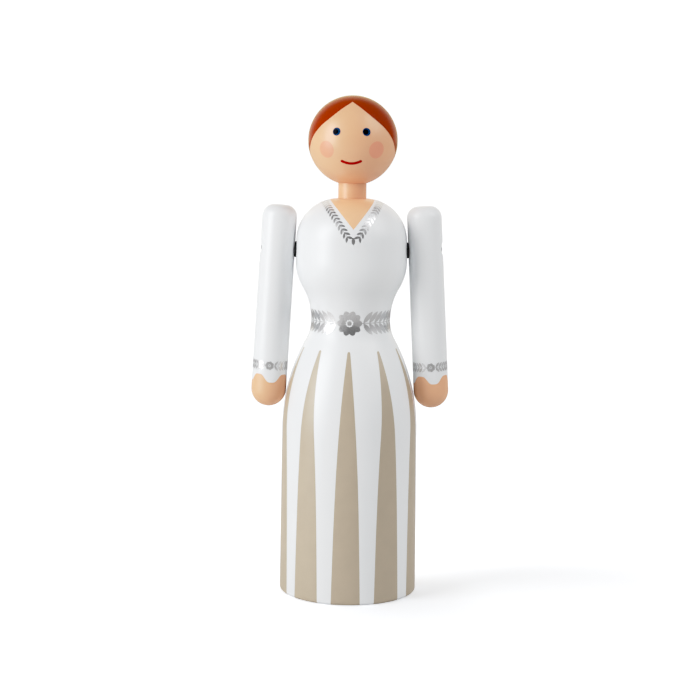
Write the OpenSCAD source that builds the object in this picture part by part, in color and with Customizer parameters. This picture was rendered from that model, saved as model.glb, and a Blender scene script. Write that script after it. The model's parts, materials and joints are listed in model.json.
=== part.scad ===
// Turned wooden bride figure with swinging arms and a ball head that turns on its neck dowel.
// Millimetres. The origin is the middle of the base, +Z is up, the face looks along -Y,
// and the figure's own left is +X.

/* [Dress] */
// Diameter of the skirt at the hem
hem_d = 66.6; // [58:0.1:76]
// Rounding of the hem's lower edge
hem_edge_r = 1.2; // [0.4:0.1:3]
// Diameter of the skirt at the hips
hip_d = 65.4; // [58:0.1:74]
// Height of the hips, where the skirt starts to draw in
hip_z = 79; // [66:0.5:86]
// Diameter of the waist
waist_d = 38; // [32:0.1:44]
// Height of the waist
waist_z = 132.5; // [126:0.5:138]
// Radius of the hollow curve under the waist
waist_curve_r = 19; // [12:0.5:30]
// Diameter of the bodice at the bust
bust_d = 53.4; // [48:0.1:60]
// Height of the bust
bust_z = 161; // [156:0.5:166]
// Radius of the round curve under the bust
bust_curve_r = 25; // [18:0.5:32]
// Diameter of the bodice where the shoulders start to round over
shoulder_d = 53; // [47:0.1:59]
// Height where the shoulders start to round over
shoulder_z = 171; // [168:0.5:178]
// Radius of the rounded shoulders
shoulder_curve_r = 20; // [16:0.5:23]

/* [Neck and head] */
// Diameter of the neck dowel
neck_d = 13.6; // [11:0.1:18]
// Length of neck that shows between bodice and head
neck_show = 7.3; // [3:0.1:12]
// Length of neck glued into the bodice
neck_in_body = 16; // [10:0.5:19]
// Length of neck inside the head
neck_in_head = 14; // [8:0.5:24]
// Chamfer on both ends of the neck dowel
neck_chamfer = 1; // [0.3:0.1:2]
// Diameter of the ball head
head_d = 42.7; // [36:0.1:46]

/* [Arms] */
// Diameter of an arm at the shoulder
arm_shoulder_d = 16.6; // [15:0.1:19]
// Diameter of an arm at the hand, which ends in a half ball
hand_d = 16.9; // [15.5:0.1:20]
// Length of an arm
arm_len = 97.5; // [86:0.5:108]
// Length of arm above its pivot
arm_above_pivot = 20.7; // [16:0.1:25]
// Rounding of the arm's upper end
arm_top_edge_r = 5.3; // [2:0.1:7]
// Gap between an arm and the bodice at the pivot
arm_body_gap = 0.6; // [0.5:0.1:3]
// Gap between a hanging hand and the skirt
hand_skirt_gap = 0.15; // [0.1:0.05:3]

/* [Arm pivots] */
// Diameter of the rubber friction washer
washer_d = 7.8; // [6.8:0.1:10]
// Depth of the flat on the arm's round that the washer bears on
arm_flat_depth = 0.3; // [0.2:0.05:1.5]
// Diameter of the pivot screw's shank
screw_d = 3; // [2.5:0.1:4]
// Diameter of the pivot screw's button head
screw_head_d = 5.7; // [5:0.1:7]
// Height of the button head
screw_head_h = 1.65; // [1.2:0.05:2.2]
// Width across the flats of the screw's hexagon socket
screw_key_w = 2; // [1.5:0.1:2.5]
// Depth of the hexagon socket
screw_key_depth = 1; // [0.6:0.1:1.1]
// Depth of the button head below the arm's surface
screw_head_sink = 0.1; // [0:0.1:0.8]
// Length of thread that the screw has in its insert
screw_thread_len = 6; // [4:0.5:7.5]
// Wall of the threaded insert
insert_wall = 0.95; // [0.6:0.05:1.6]
// Length of the threaded insert
insert_len = 8; // [6.5:0.5:10]
// Depth of the insert below the washer's seat
insert_sink = 0.3; // [0.1:0.1:1]

/* [Clearances] */
// Radial clearance of a piece that turns on another
turn_gap = 0.05; // [0.03:0.01:0.1]
// Clearance between faces that slide past each other
slip_gap = 0.05; // [0.03:0.01:0.15]
// Radial room for glue, or for thread, around a fixed piece
glue_gap = 0.05; // [0.02:0.01:0.1]
// Radial room around the washer on its flat and its seat
washer_room = 0.2; // [0.1:0.05:0.5]
// Extra depth of the washer's seat, so that it is flat all over
flat_margin = 0.1; // [0.05:0.05:0.4]
// Radial room around the screw's head in its recess
head_room = 0.45; // [0.3:0.05:1]
// Room past the screw's tip at the bottom of its hole
tip_room = 2; // [0.5:0.5:4]
// Room between the end of the neck and the bottom of the head's bore
head_end_gap = 0.1; // [0.05:0.05:1]

/* [Hidden] */
$fn = 128;

// Outlines are drawn as half sections in [radius, height]. A normal is the angle of a
// curve's outward direction, from 0 level with the ground to 90 straight up.
function on_circle(centre, radius, normal) = centre + radius * [cos(normal), sin(normal)];

// Normal of the straight line that touches two circles on their outer side
function touching_normal(c1, r1, c2, r2) =
    atan2(c2.y - c1.y, c2.x - c1.x) - acos((r1 - r2) / norm(c2 - c1));

// Radii of two curves that run into each other, from one upright tangent to the next, add up to this
function ogee_sum(step_r, step_z) = (step_r * step_r + step_z * step_z) / (2 * step_r);

hem_r = hem_d / 2;
hip_r = hip_d / 2;
waist_r = waist_d / 2;
bust_r = bust_d / 2;

// Skirt: hem edge, straight side, round hip curve and hollow curve up to the waist
skirt_ogee = ogee_sum(hip_r - waist_r, waist_z - hip_z);
hip_curve_r = skirt_ogee - waist_curve_r;
hip_top_normal = asin((waist_z - hip_z) / skirt_ogee);
hem_c = [hem_r - hem_edge_r, hem_edge_r];
hip_c = [hip_r - hip_curve_r, hip_z];
low_waist_c = [waist_r + waist_curve_r, waist_z];
skirt_normal = touching_normal(hem_c, hem_edge_r, hip_c, hip_curve_r);

// Bodice: hollow curve above the waist, round bust curve, straight side and round shoulders
bodice_ogee = ogee_sum(bust_r - waist_r, bust_z - waist_z);
high_waist_curve_r = bodice_ogee - bust_curve_r;
bust_low_normal = -asin((bust_z - waist_z) / bodice_ogee);
high_waist_c = [waist_r + high_waist_curve_r, waist_z];
bust_c = [bust_r - bust_curve_r, bust_z];
shoulder_c = [shoulder_d / 2 - shoulder_curve_r, shoulder_z];
bodice_normal = touching_normal(bust_c, bust_curve_r, shoulder_c, shoulder_curve_r);
side_low = on_circle(bust_c, bust_curve_r, bodice_normal);
side_high = on_circle(shoulder_c, shoulder_curve_r, bodice_normal);
body_top_z = shoulder_z + shoulder_curve_r;

// Neck and head
neck_r = neck_d / 2;
neck_bottom_z = body_top_z - neck_in_body;
head_r = head_d / 2;
head_bore_r = neck_r + turn_gap;
head_mouth_z = body_top_z + neck_show;
head_z = head_mouth_z + sqrt(head_r * head_r - head_bore_r * head_bore_r);
neck_top_z = head_mouth_z + neck_in_head;

// Arm outline, with height 0 at the pivot
hand_r = hand_d / 2;
hand_drop = arm_len - arm_above_pivot - hand_r;
hand_c = [0, -hand_drop];
arm_top_c = [arm_shoulder_d / 2 - arm_top_edge_r, arm_above_pivot - arm_top_edge_r];
arm_normal = touching_normal(hand_c, hand_r, arm_top_c, arm_top_edge_r);
arm_pivot_r = (hand_r - hand_drop * sin(arm_normal)) / cos(arm_normal);

// Lean of a hanging arm: its hand clears the hip curve by hand_skirt_gap
pivot_root = (side_low + side_high) / 2;
arm_offset = arm_body_gap + arm_pivot_r;
hip_to_root = pivot_root - hip_c;
hand_reach = hip_curve_r + hand_r + hand_skirt_gap;
lean_cos = arm_offset * hip_to_root.x - hand_drop * hip_to_root.y;
lean_sin = arm_offset * hip_to_root.y + hand_drop * hip_to_root.x;
lean_sum = (pow(hand_reach, 2) - pow(norm(hip_to_root), 2) - pow(arm_offset, 2) - pow(hand_drop, 2)) / 2;
arm_lean = atan2(lean_sin, lean_cos) - acos(lean_sum / norm([lean_cos, lean_sin]));
pivot = on_circle(pivot_root, arm_offset, arm_lean);

// Pivot hardware, measured outwards along the pivot axis from the middle of the arm
screw_r = screw_d / 2;
seat_r = washer_d / 2 + washer_room;
arm_flat = arm_flat_depth - arm_pivot_r;
seat_sag = pivot_root.x - sqrt(pivot_root.x * pivot_root.x - seat_r * seat_r);
seat_tilt = seat_r * abs(sin(arm_lean - bodice_normal));
seat = -(arm_offset + seat_sag + seat_tilt + flat_margin);
washer_in = seat + slip_gap;
head_top = arm_pivot_r - screw_head_sink;
head_under = head_top - screw_head_h;
recess_floor = head_under - slip_gap;
insert_r = screw_r + glue_gap + insert_wall;
insert_out = seat - insert_sink;
insert_in = insert_out - insert_len;
screw_tip = insert_out - screw_thread_len;
hole_end = min(insert_in, screw_tip) - tip_room;

// Small details of the pivot hardware
screw_head_r = screw_head_d / 2;
screw_rim_h = screw_head_h / 5;
dome_h = screw_head_h - screw_rim_h;
dome_r = (pow(screw_head_r, 2) + pow(dome_h, 2)) / (2 * dome_h);
dome_c = [0, head_top - dome_r];
dome_normal = acos(screw_head_r / dome_r);
screw_tip_chamfer = screw_d / 8;
insert_groove_w = insert_len / 5;
insert_groove_depth = insert_wall / 4;

WHITE_LACQUER = [0.95, 0.95, 0.96];
SKIN_LACQUER = [0.90, 0.74, 0.58];
BLACK_RUBBER = [0.10, 0.10, 0.11];
DARK_STEEL = [0.30, 0.29, 0.28];
BRASS = [0.80, 0.64, 0.30];

// The part of a disc that lies between two normals, from near its rim to the rim itself
module arc_band(centre, radius, from, to) {
    inside = 0.85 * radius;
    outside = 1.1 * radius / cos((to - from) / 2);
    intersection() {
        translate(centre) circle(radius);
        polygon([
            on_circle(centre, inside, from), on_circle(centre, outside, from),
            on_circle(centre, outside, to), on_circle(centre, inside, to)
        ]);
    }
}

module body_outline() {
    difference() {
        union() {
            polygon([
                [0, 0],
                [hem_c.x, 0],
                on_circle(hem_c, hem_edge_r, skirt_normal),
                on_circle(hip_c, hip_curve_r, skirt_normal),
                on_circle(hip_c, hip_curve_r, hip_top_normal),
                [waist_r, waist_z],
                on_circle(bust_c, bust_curve_r, bust_low_normal),
                side_low,
                side_high,
                [shoulder_c.x, body_top_z],
                [0, body_top_z]
            ]);
            arc_band(hem_c, hem_edge_r, -90, skirt_normal);
            arc_band(hip_c, hip_curve_r, skirt_normal, hip_top_normal);
            arc_band(bust_c, bust_curve_r, bust_low_normal, bodice_normal);
            arc_band(shoulder_c, shoulder_curve_r, bodice_normal, 90);
        }
        arc_band(low_waist_c, waist_curve_r, 180, 180 + hip_top_normal);
        arc_band(high_waist_c, high_waist_curve_r, 180 + bust_low_normal, 180);
    }
}

module arm_outline() {
    polygon([
        [0, -hand_drop - hand_r],
        on_circle(hand_c, hand_r, arm_normal),
        on_circle(arm_top_c, arm_top_edge_r, arm_normal),
        [arm_top_c.x, arm_above_pivot],
        [0, arm_above_pivot]
    ]);
    arc_band(hand_c, hand_r, -90, arm_normal);
    arc_band(arm_top_c, arm_top_edge_r, arm_normal, 90);
}

// The screw stands on its axis here, with height 0 at the middle of the arm
module arm_screw_outline() {
    polygon([
        [0, screw_tip],
        [screw_r - screw_tip_chamfer, screw_tip],
        [screw_r, screw_tip + screw_tip_chamfer],
        [screw_r, head_under],
        [screw_head_r, head_under],
        [screw_head_r, head_under + screw_rim_h],
        [0, head_top]
    ]);
    arc_band(dome_c, dome_r, dome_normal, 90);
}

// Puts children on the left pivot: X runs outwards along the pivot axis, Z up along the arm
module at_left_pivot() {
    translate([pivot.x, 0, pivot.y]) rotate([0, -arm_lean, 0]) children();
}

module at_right_pivot() {
    mirror([1, 0, 0]) at_left_pivot() children();
}

module rod_x(from, to, radius) {
    translate([from, 0, 0]) rotate([0, 90, 0]) cylinder(h = to - from, r = radius);
}

module pivot_hole() {
    rod_x(seat, 0, seat_r);
    rod_x(hole_end, 0, insert_r + glue_gap);
}

module body() {
    color(WHITE_LACQUER) difference() {
        rotate_extrude() body_outline();
        translate([0, 0, neck_bottom_z]) cylinder(h = neck_top_z, r = neck_r + glue_gap);
        at_left_pivot() pivot_hole();
        at_right_pivot() pivot_hole();
    }
}

module neck() {
    color(SKIN_LACQUER) rotate_extrude() polygon([
        [0, neck_bottom_z],
        [neck_r - neck_chamfer, neck_bottom_z],
        [neck_r, neck_bottom_z + neck_chamfer],
        [neck_r, neck_top_z - neck_chamfer],
        [neck_r - neck_chamfer, neck_top_z],
        [0, neck_top_z]
    ]);
}

module head() {
    color(SKIN_LACQUER) difference() {
        translate([0, 0, head_z]) sphere(head_r);
        translate([0, 0, body_top_z]) cylinder(h = neck_top_z + head_end_gap - body_top_z, r = head_bore_r);
    }
}

module arm() {
    color(WHITE_LACQUER) difference() {
        rotate_extrude() arm_outline();
        rod_x(-hand_d, arm_flat, seat_r);
        rod_x(-hand_d, hand_d, screw_r + turn_gap);
        rod_x(recess_floor, hand_d, screw_head_r + head_room);
    }
}

module friction_washer() {
    color(BLACK_RUBBER) difference() {
        rod_x(washer_in, arm_flat, washer_d / 2);
        rod_x(2 * seat, 0, screw_r + turn_gap);
    }
}

module arm_screw() {
    color(DARK_STEEL) rotate([0, 90, 0]) difference() {
        rotate_extrude() arm_screw_outline();
        translate([0, 0, head_top - screw_key_depth])
            cylinder(h = screw_head_h, d = screw_key_w / cos(30), $fn = 6);
    }
}

module threaded_insert() {
    insert_mid = (insert_in + insert_out) / 2;
    color(BRASS) difference() {
        rod_x(insert_in, insert_out, insert_r);
        rod_x(2 * insert_in, 0, screw_r + glue_gap);
        difference() {
            rod_x(insert_mid - insert_groove_w / 2, insert_mid + insert_groove_w / 2, 2 * insert_r);
            rod_x(2 * insert_in, 0, insert_r - insert_groove_depth);
        }
    }
}

module left_arm() { at_left_pivot() arm(); }
module right_arm() { at_right_pivot() arm(); }
module left_friction_washer() { at_left_pivot() friction_washer(); }
module right_friction_washer() { at_right_pivot() friction_washer(); }
module left_arm_screw() { at_left_pivot() arm_screw(); }
module right_arm_screw() { at_right_pivot() arm_screw(); }
module left_threaded_insert() { at_left_pivot() threaded_insert(); }
module right_threaded_insert() { at_right_pivot() threaded_insert(); }

echo(arm_lean = arm_lean, pivot = pivot, head_z = head_z, top_z = head_z + head_r);

body();
neck();
head();
left_arm();
right_arm();
left_friction_washer();
right_friction_washer();
left_arm_screw();
right_arm_screw();
left_threaded_insert();
right_threaded_insert();
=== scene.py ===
"""Turned wooden bride figure: turned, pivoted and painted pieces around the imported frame, and their stage."""

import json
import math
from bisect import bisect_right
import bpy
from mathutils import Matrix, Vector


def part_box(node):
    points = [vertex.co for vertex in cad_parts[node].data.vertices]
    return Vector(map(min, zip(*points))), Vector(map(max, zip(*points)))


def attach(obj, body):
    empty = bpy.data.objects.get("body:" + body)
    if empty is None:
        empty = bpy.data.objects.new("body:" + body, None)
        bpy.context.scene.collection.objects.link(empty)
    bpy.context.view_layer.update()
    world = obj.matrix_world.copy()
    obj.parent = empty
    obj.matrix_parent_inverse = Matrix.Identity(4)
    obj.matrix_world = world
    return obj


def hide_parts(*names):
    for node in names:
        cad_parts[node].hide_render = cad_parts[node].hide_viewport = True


bl_info = {
    "name": "Turned bride figure",
    "version": (1, 0, 0),
    "blender": (4, 5, 0),
    "location": "3D View > Sidebar > Figure",
    "description": "Turns, paints and lights a wooden bride figure",
    "category": "Object",
}

import bmesh
import bpy
from bpy.props import FloatProperty, FloatVectorProperty, IntProperty, PointerProperty
from mathutils import Matrix, Vector

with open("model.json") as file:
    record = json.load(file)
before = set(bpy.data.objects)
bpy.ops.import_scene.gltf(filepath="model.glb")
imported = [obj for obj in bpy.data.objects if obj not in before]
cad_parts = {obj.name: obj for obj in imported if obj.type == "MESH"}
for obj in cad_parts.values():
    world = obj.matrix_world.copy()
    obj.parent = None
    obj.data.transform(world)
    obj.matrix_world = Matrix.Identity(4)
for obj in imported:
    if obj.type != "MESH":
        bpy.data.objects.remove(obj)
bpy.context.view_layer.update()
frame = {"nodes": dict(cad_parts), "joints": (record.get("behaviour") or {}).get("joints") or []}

MM = 0.001
OUTLINE_STEP = 0.9 * MM
WELD = 0.001 * MM
BODY_SIDES = 192
ROD_SIDES = 128
SMALL_SIDES = 64
SHARP_ANGLE = math.radians(32)
FIT_TOLERANCE = 0.2 * MM
SIDES = {"left": 1, "right": -1}

# Roughness and gloss of lacquer and most paint, and the height under which the base is bare wood
SATIN = 0.37
GLOSS = 0.65
BARE_HEIGHT = 0.02 * MM

# Hairline as (turn from the middle of the face, height above the head's middle), in degrees. The other half
# is its mirror, and the last point mirrors one at the back, so that the line runs smoothly there.
HAIRLINE = [
    (0, 58), (15, 46.5), (32, 30.5), (47, 17.5), (60, 4.5), (75, -12), (100, -27), (180, -44), (260, -27),
]


# Properties

def length(name, description, millimetres):
    default = millimetres * MM
    return FloatProperty(name=name, description=description, default=default, precision=5, unit="LENGTH")


def angle(name, description, degrees):
    return FloatProperty(name=name, description=description, default=math.radians(degrees), unit="ROTATION")


def share(name, description, value):
    return FloatProperty(name=name, description=description, default=value, min=0, subtype="FACTOR")


def count(name, description, value):
    return IntProperty(name=name, description=description, default=value, min=1)


def power(name, description, watts):
    return FloatProperty(name=name, description=description, default=watts, min=0, unit="POWER")


def colour(name, description, *rgb):
    return FloatVectorProperty(name=name, description=description, default=rgb, min=0, max=1, subtype="COLOR")


class DressSizes(bpy.types.PropertyGroup):
    """Sizes of the dress, which is one turned piece."""

    hem_d: length("Hem", "Diameter of the skirt at the hem", 66.6)
    hem_edge_r: length("Hem edge", "Rounding of the hem's lower edge", 1.2)
    hip_d: length("Hips", "Diameter of the skirt at the hips", 65.4)
    hip_z: length("Hip height", "Height where the skirt starts to draw in", 79)
    waist_d: length("Waist", "Diameter of the waist", 38)
    waist_z: length("Waist height", "Height of the waist", 132.5)
    waist_curve_r: length("Waist curve", "Radius of the hollow curve under the waist", 19)
    bust_d: length("Bust", "Diameter of the bodice at the bust", 53.4)
    bust_z: length("Bust height", "Height of the bust", 161)
    bust_curve_r: length("Bust curve", "Radius of the round curve under the bust", 25)
    shoulder_d: length("Shoulders", "Diameter where the shoulders start to round over", 53)
    shoulder_z: length("Shoulder height", "Height where the shoulders start to round over", 171)
    shoulder_curve_r: length("Shoulder curve", "Radius of the rounded shoulders", 20)


class HeadSizes(bpy.types.PropertyGroup):
    """Sizes of the neck dowel and the ball head."""

    neck_d: length("Neck", "Diameter of the neck dowel", 13.6)
    neck_chamfer: length("Neck chamfer", "Chamfer on both ends of the neck dowel", 1)
    head_d: length("Head", "Diameter of the ball head", 42.7)
    bore_end_gap: length("Bore end", "Room between the neck's end and the bottom of the head's bore", 0.1)
    joint_gap: length("Joint gap", "Radial room around the neck in the bodice and in the head", 0.05)
    joint_edge_r: length("Joint edge", "Rounding of the wood around the neck", 0.3)


class ArmSizes(bpy.types.PropertyGroup):
    """Sizes of an arm, which is a turned rod with a half-ball hand."""

    shoulder_d: length("Shoulder end", "Diameter of an arm at the shoulder", 16.6)
    hand_d: length("Hand", "Diameter of the half-ball hand", 16.9)
    total: length("Arm length", "Length of an arm", 97.5)
    above_pivot: length("Above pivot", "Length of arm above its pivot", 20.7)
    top_edge_r: length("Top edge", "Rounding of the arm's upper end", 5.3)


class PivotSizes(bpy.types.PropertyGroup):
    """Sizes of the arm pivots that can't be read from the frame."""

    screw_d: length("Shank", "Diameter of the pivot screw's shank", 3)
    screw_head_h: length("Head height", "Height of the screw's button head", 1.65)
    screw_rim_h: length("Rim height", "Height of the straight rim under the dome of the screw's head", 0.33)
    screw_tip_chamfer: length("Tip chamfer", "Chamfer on the screw's tip", 0.375)
    key_w: length("Socket", "Width across the flats of the screw's hexagon socket", 2)
    key_depth: length("Socket depth", "Depth of the hexagon socket", 1)
    head_room: length("Head room", "Radial room around the screw's head in its recess", 0.45)
    recess_edge_r: length("Recess edge", "Rounding of the recess where it meets the arm's surface", 0.35)
    washer_room: length("Washer room", "Radial room around the washer on its flat and its seat", 0.2)
    washer_edge_r: length("Washer edge", "Rounding of the rubber washer's rim", 0.6)
    slip_gap: length("Slip gap", "Clearance between faces that slide past each other", 0.05)
    turn_gap: length("Turn gap", "Radial clearance of a piece that turns on another", 0.05)
    tip_room: length("Tip room", "Room past the end of the insert at the bottom of its hole", 2)


class PaintSizes(bpy.types.PropertyGroup):
    """Places and sizes of what is painted on the wood."""

    coat: length("Coat", "Height of a painted coat above the lacquer under it", 0.04)
    stripes: count("Stripes", "Number of stripes round the skirt", 10)
    stripe_top_z: length("Stripe top", "Height of the stripes' rounded upper ends", 120)
    stripe_top_w: length("Stripe top width", "Width of a stripe at its upper end", 1.35)
    stripe_hem_w: length("Stripe hem width", "Width of a stripe at the hem", 13.9)
    stripe_flare: share("Stripe flare", "Share of a stripe's narrowing that comes evenly with height", 0.4)
    skirt_turn: angle("Skirt turn", "Turn of stripes and belt from straight ahead", -1.65)
    face_turn: angle("Face turn", "Turn of the painted face from straight ahead", -2)
    eye_d: length("Eye", "Diameter of an eye", 3.85)
    eye_apart: angle("Eye spread", "Turn of each eye from the middle of the face", 19.5)
    eye_rise: angle("Eye height", "Height of the eyes above the head's middle", 11.5)
    pupil_d: length("Pupil", "Diameter of a pupil", 2.6)
    pupil_shift: length("Pupil shift", "Distance of a pupil from the middle of its eye", 0.4)
    cheek_d: length("Cheek", "Diameter of a cheek spot", 8.1)
    cheek_apart: angle("Cheek spread", "Turn of each cheek spot from the middle of the face", 34.2)
    cheek_rise: angle("Cheek height", "Height of the cheek spots above the head's middle", -11)
    mouth_w: length("Mouth width", "Width of the mouth line", 9.9)
    mouth_t: length("Mouth line", "Thickness of the mouth line", 1.4)
    mouth_curve: length("Mouth curve", "Rise of the mouth's corners", 1.2)
    mouth_rise: angle("Mouth height", "Height of the mouth's middle above the head's middle", -29.3)
    neckline_z: length("Neckline point", "Height of the lower point of the open neckline", 177.6)
    neckline_spread: share("Neckline spread", "Half width that the neckline gains over its height", 0.82)
    neckline_turn: angle("Neckline turn", "Turn of the neckline from straight ahead", 1.7)
    scallop_top: length("Scallop top", "Height of the sleeve edge above the pivot at the bays", -60.5)
    scallop_tip: length("Scallop tip", "Height of the sleeve edge above the pivot at the tongues", -64.3)
    scallop_turn: angle("Scallop turn", "Turn of the first tongue from straight ahead", 9)
    scallops: count("Scallops", "Number of tongues round a sleeve edge", 4)


class SilverSizes(bpy.types.PropertyGroup):
    """Sizes of the silver laurel on belt, neckline and cuffs."""

    foil: length("Foil", "Height of the silver foil above the lacquer", 0.035)
    slant: angle("Leaf slant", "Turn of the leaves from their stem", 50)
    rosette_eye: share("Rosette eye", "Radius of a rosette's eye compared with the rosette", 0.26)
    rosette_bead: share("Rosette bead", "Radius of the bead compared with the rosette's eye", 0.7)
    petal_fill: share("Petal width", "Width of a petal compared with its room at the rim", 0.85)
    belt_z: length("Belt height", "Height of the belt's middle", 133)
    belt_leaf: length("Belt leaf", "Length of a belt leaf", 7)
    belt_leaf_w: length("Belt leaf width", "Width of a belt leaf", 2.5)
    belt_pairs: count("Belt pairs", "Leaf pairs on each half of the belt", 15)
    belt_rosette_r: length("Belt rosette", "Radius of the belt's rosettes", 6.2)
    belt_petals: count("Belt petals", "Petals of a belt rosette", 10)
    trim_z: length("Trim point", "Height where both halves of the neckline trim would meet", 170)
    trim_spread: share("Trim spread", "Half width that the neckline trim gains over its height", 0.67)
    trim_gap: length("Trim gap", "Half width of the gap that the trim leaves for its drop", 3)
    trim_leaf: length("Trim leaf", "Length of a neckline leaf", 2.9)
    trim_leaf_w: length("Trim leaf width", "Width of a neckline leaf", 1.2)
    trim_pairs: count("Trim pairs", "Leaf pairs on each half of the neckline", 25)
    trim_drop: length("Trim drop", "Length of the drop at the neckline's point", 3.4)
    trim_drop_z: length("Drop height", "Height of the drop's upper end", 173.9)
    cuff_z: length("Cuff height", "Height of a cuff band's middle above the pivot", -56.15)
    cuff_leaf: length("Cuff leaf", "Length of a cuff leaf", 2.9)
    cuff_leaf_w: length("Cuff leaf width", "Width of a cuff leaf", 1.2)
    cuff_pairs: count("Cuff pairs", "Leaf pairs on each half of a cuff", 13)
    cuff_rosette_r: length("Cuff rosette", "Radius of a cuff's rosettes", 2.2)
    cuff_petals: count("Cuff petals", "Petals of a cuff rosette", 7)


class FinishColours(bpy.types.PropertyGroup):
    """Colours of the finishes, in linear light."""

    white: colour("White lacquer", "Dress and sleeves", 0.90, 0.922, 0.942)
    skin: colour("Skin lacquer", "Head, neck and hands", 0.865, 0.474, 0.277)
    # Neckline paint is the skin colour made lighter: painted light, for the stronger light from above on the
    # upturned neckline.
    neckline: colour("Neckline paint", "Skin in the open neckline", 0.98, 0.55, 0.325)
    hair: colour("Hair paint", "Painted hair", 0.345, 0.028, 0.0005)
    tan: colour("Stripe paint", "Stripes of the skirt", 0.51, 0.431, 0.328)
    silver: colour("Silver foil", "Belt, neckline trim and cuffs", 0.67, 0.67, 0.68)
    eye: colour("Eye paint", "Ring of the eyes", 0.006, 0.055, 0.165)
    pupil: colour("Pupil paint", "Middle of the eyes", 0.001, 0.002, 0.006)
    cheek: colour("Cheek paint", "Cheek spots", 0.885, 0.372, 0.231)
    mouth: colour("Mouth paint", "Mouth line", 0.43, 0.002, 0.002)
    rubber: colour("Rubber", "Friction washers", 0.012, 0.012, 0.013)
    steel: colour("Blackened steel", "Pivot screws", 0.09, 0.087, 0.083)
    brass: colour("Brass", "Threaded inserts", 0.66, 0.43, 0.16)
    beech: colour("Beech", "Bare wood under the base", 0.60, 0.38, 0.21)


class StageSizes(bpy.types.PropertyGroup):
    """Camera, floor and lights of the stage."""

    camera_x: length("Camera shift", "Place of the camera right of the axis", -0.15)
    camera_y: length("Camera distance", "Distance of the camera in front of the axis", 820)
    camera_z: length("Camera height", "Height of the camera", 228)
    camera_pitch: angle("Camera pitch", "Downward tilt of the camera", 7.65)
    camera_roll: angle("Camera roll", "Turn of the camera about its own line of sight", 0.73)
    lens: FloatProperty(name="Lens", description="Focal length", default=87.92, unit="CAMERA")
    floor: length("Floor", "Width of the floor", 12000)
    floor_drop: length("Floor drop", "Room between the base and the floor", 0.02)
    floor_tone: colour("Floor tone", "Colour of the floor where the camera sees it", 0.95, 0.968, 1)
    # Glow of the floor: the lower near and middle glow at the foot and along the cast shadow is painted shadow.
    near_glow: share("Near glow", "Light that the floor gives by itself at the figure's foot", 0.3)
    middle_glow: share("Middle glow", "Light that the floor gives by itself in the figure's shadow", 0.46)
    far_glow: share("Far glow", "Light that the floor gives by itself far away", 1)
    foot_x: length("Foot shift", "Place of the dark foot's middle right of the axis", 30)
    foot_y: length("Foot distance", "Place of the dark foot's middle behind the axis", -15)
    foot_start: length("Foot start", "Distance from that middle where the glow starts to rise", 10)
    foot_end: length("Foot end", "Distance from that middle where the middle glow is reached", 50)
    shadow_x: length("Shadow shift", "Place of the shadow's middle right of the axis", 73)
    shadow_y: length("Shadow distance", "Place of the shadow's middle behind the axis", -17)
    shadow_turn: angle("Shadow turn", "Turn of the shadow from the right towards the back", 24)
    shadow_depth: share("Shadow depth", "Depth of the shadow compared with its length", 0.45)
    shadow_start: length("Shadow start", "Distance from that middle where the far glow starts to rise", 65)
    shadow_end: length("Shadow end", "Distance from that middle where the far glow is full", 195)
    lamp_aim: length("Lamp aim", "Height that both lamps point at", 130)
    lamp_distance: length("Lamp distance", "Distance of both lamps from that point", 900)
    lamp_w: length("Lamp width", "Width of both lamps", 450)
    key_h: length("Key size", "Upright size of the key light", 800)
    key_turn: angle("Key turn", "Turn of the key light from the camera's side to the left", 60)
    key_rise: angle("Key rise", "Height of the key light above level", 18)
    key_power: power("Key power", "Power of the key light", 6.9)
    fill_h: length("Fill size", "Upright size of the fill light", 600)
    fill_turn: angle("Fill turn", "Turn of the fill light from the camera's side to the left", -65)
    fill_rise: angle("Fill rise", "Height of the fill light above level", 42)
    fill_power: power("Fill power", "Power of the fill light", 2.05)
    left: share("Left", "Brightness of the room on the left", 0.58)
    window: share("Window", "Brightness of the soft light high on the right", 1.25)
    window_turn: angle("Window turn", "Turn of that light from the camera's side to the left", -80)
    window_rise: angle("Window rise", "Height of that light above level", 35)
    backdrop: share("Backdrop", "Brightness of the backdrop", 1.15)
    backdrop_tone: colour("Backdrop tone", "Colour that the backdrop mirrors", 1, 0.94, 0.83)
    backdrop_reach: angle("Backdrop reach", "Angle that the backdrop reaches round from behind", 50)
    black: share("Black", "Light that the camera shows as black", 0.01)
    knee: share("Knee", "Light above which the camera's answer bends over", 0.5)
    white: share("White", "Light that the camera shows as white", 1.45)


class FigureSettings(bpy.types.PropertyGroup):
    """All sizes and colours of the figure."""

    dress: PointerProperty(type=DressSizes)
    head: PointerProperty(type=HeadSizes)
    arm: PointerProperty(type=ArmSizes)
    pivot: PointerProperty(type=PivotSizes)
    paint: PointerProperty(type=PaintSizes)
    silver: PointerProperty(type=SilverSizes)
    colours: PointerProperty(type=FinishColours)
    stage: PointerProperty(type=StageSizes)


# Node trees

def maths(operation, reflected=False):
    """An operator that adds a Math node, with its operands swapped in the reflected form."""

    def combine(self, other):
        first, second = (other, self) if reflected else (self, other)
        return self.graph.node("ShaderNodeMath", {0: first, 1: second}, operation=operation)

    return combine


class Value:
    """An output socket that can stand in a Python expression."""

    __add__ = maths("ADD")
    __radd__ = maths("ADD", True)
    __sub__ = maths("SUBTRACT")
    __rsub__ = maths("SUBTRACT", True)
    __mul__ = maths("MULTIPLY")
    __rmul__ = maths("MULTIPLY", True)
    __truediv__ = maths("DIVIDE")
    __rtruediv__ = maths("DIVIDE", True)
    __mod__ = maths("FLOORED_MODULO")
    __rmod__ = maths("FLOORED_MODULO", True)
    __lt__ = maths("LESS_THAN")
    __gt__ = maths("GREATER_THAN")

    def __init__(self, graph, socket):
        self.graph = graph
        self.socket = socket

    def other(self, name):
        """Another output of the same node."""
        return Value(self.graph, self.socket.node.outputs[name])


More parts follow.
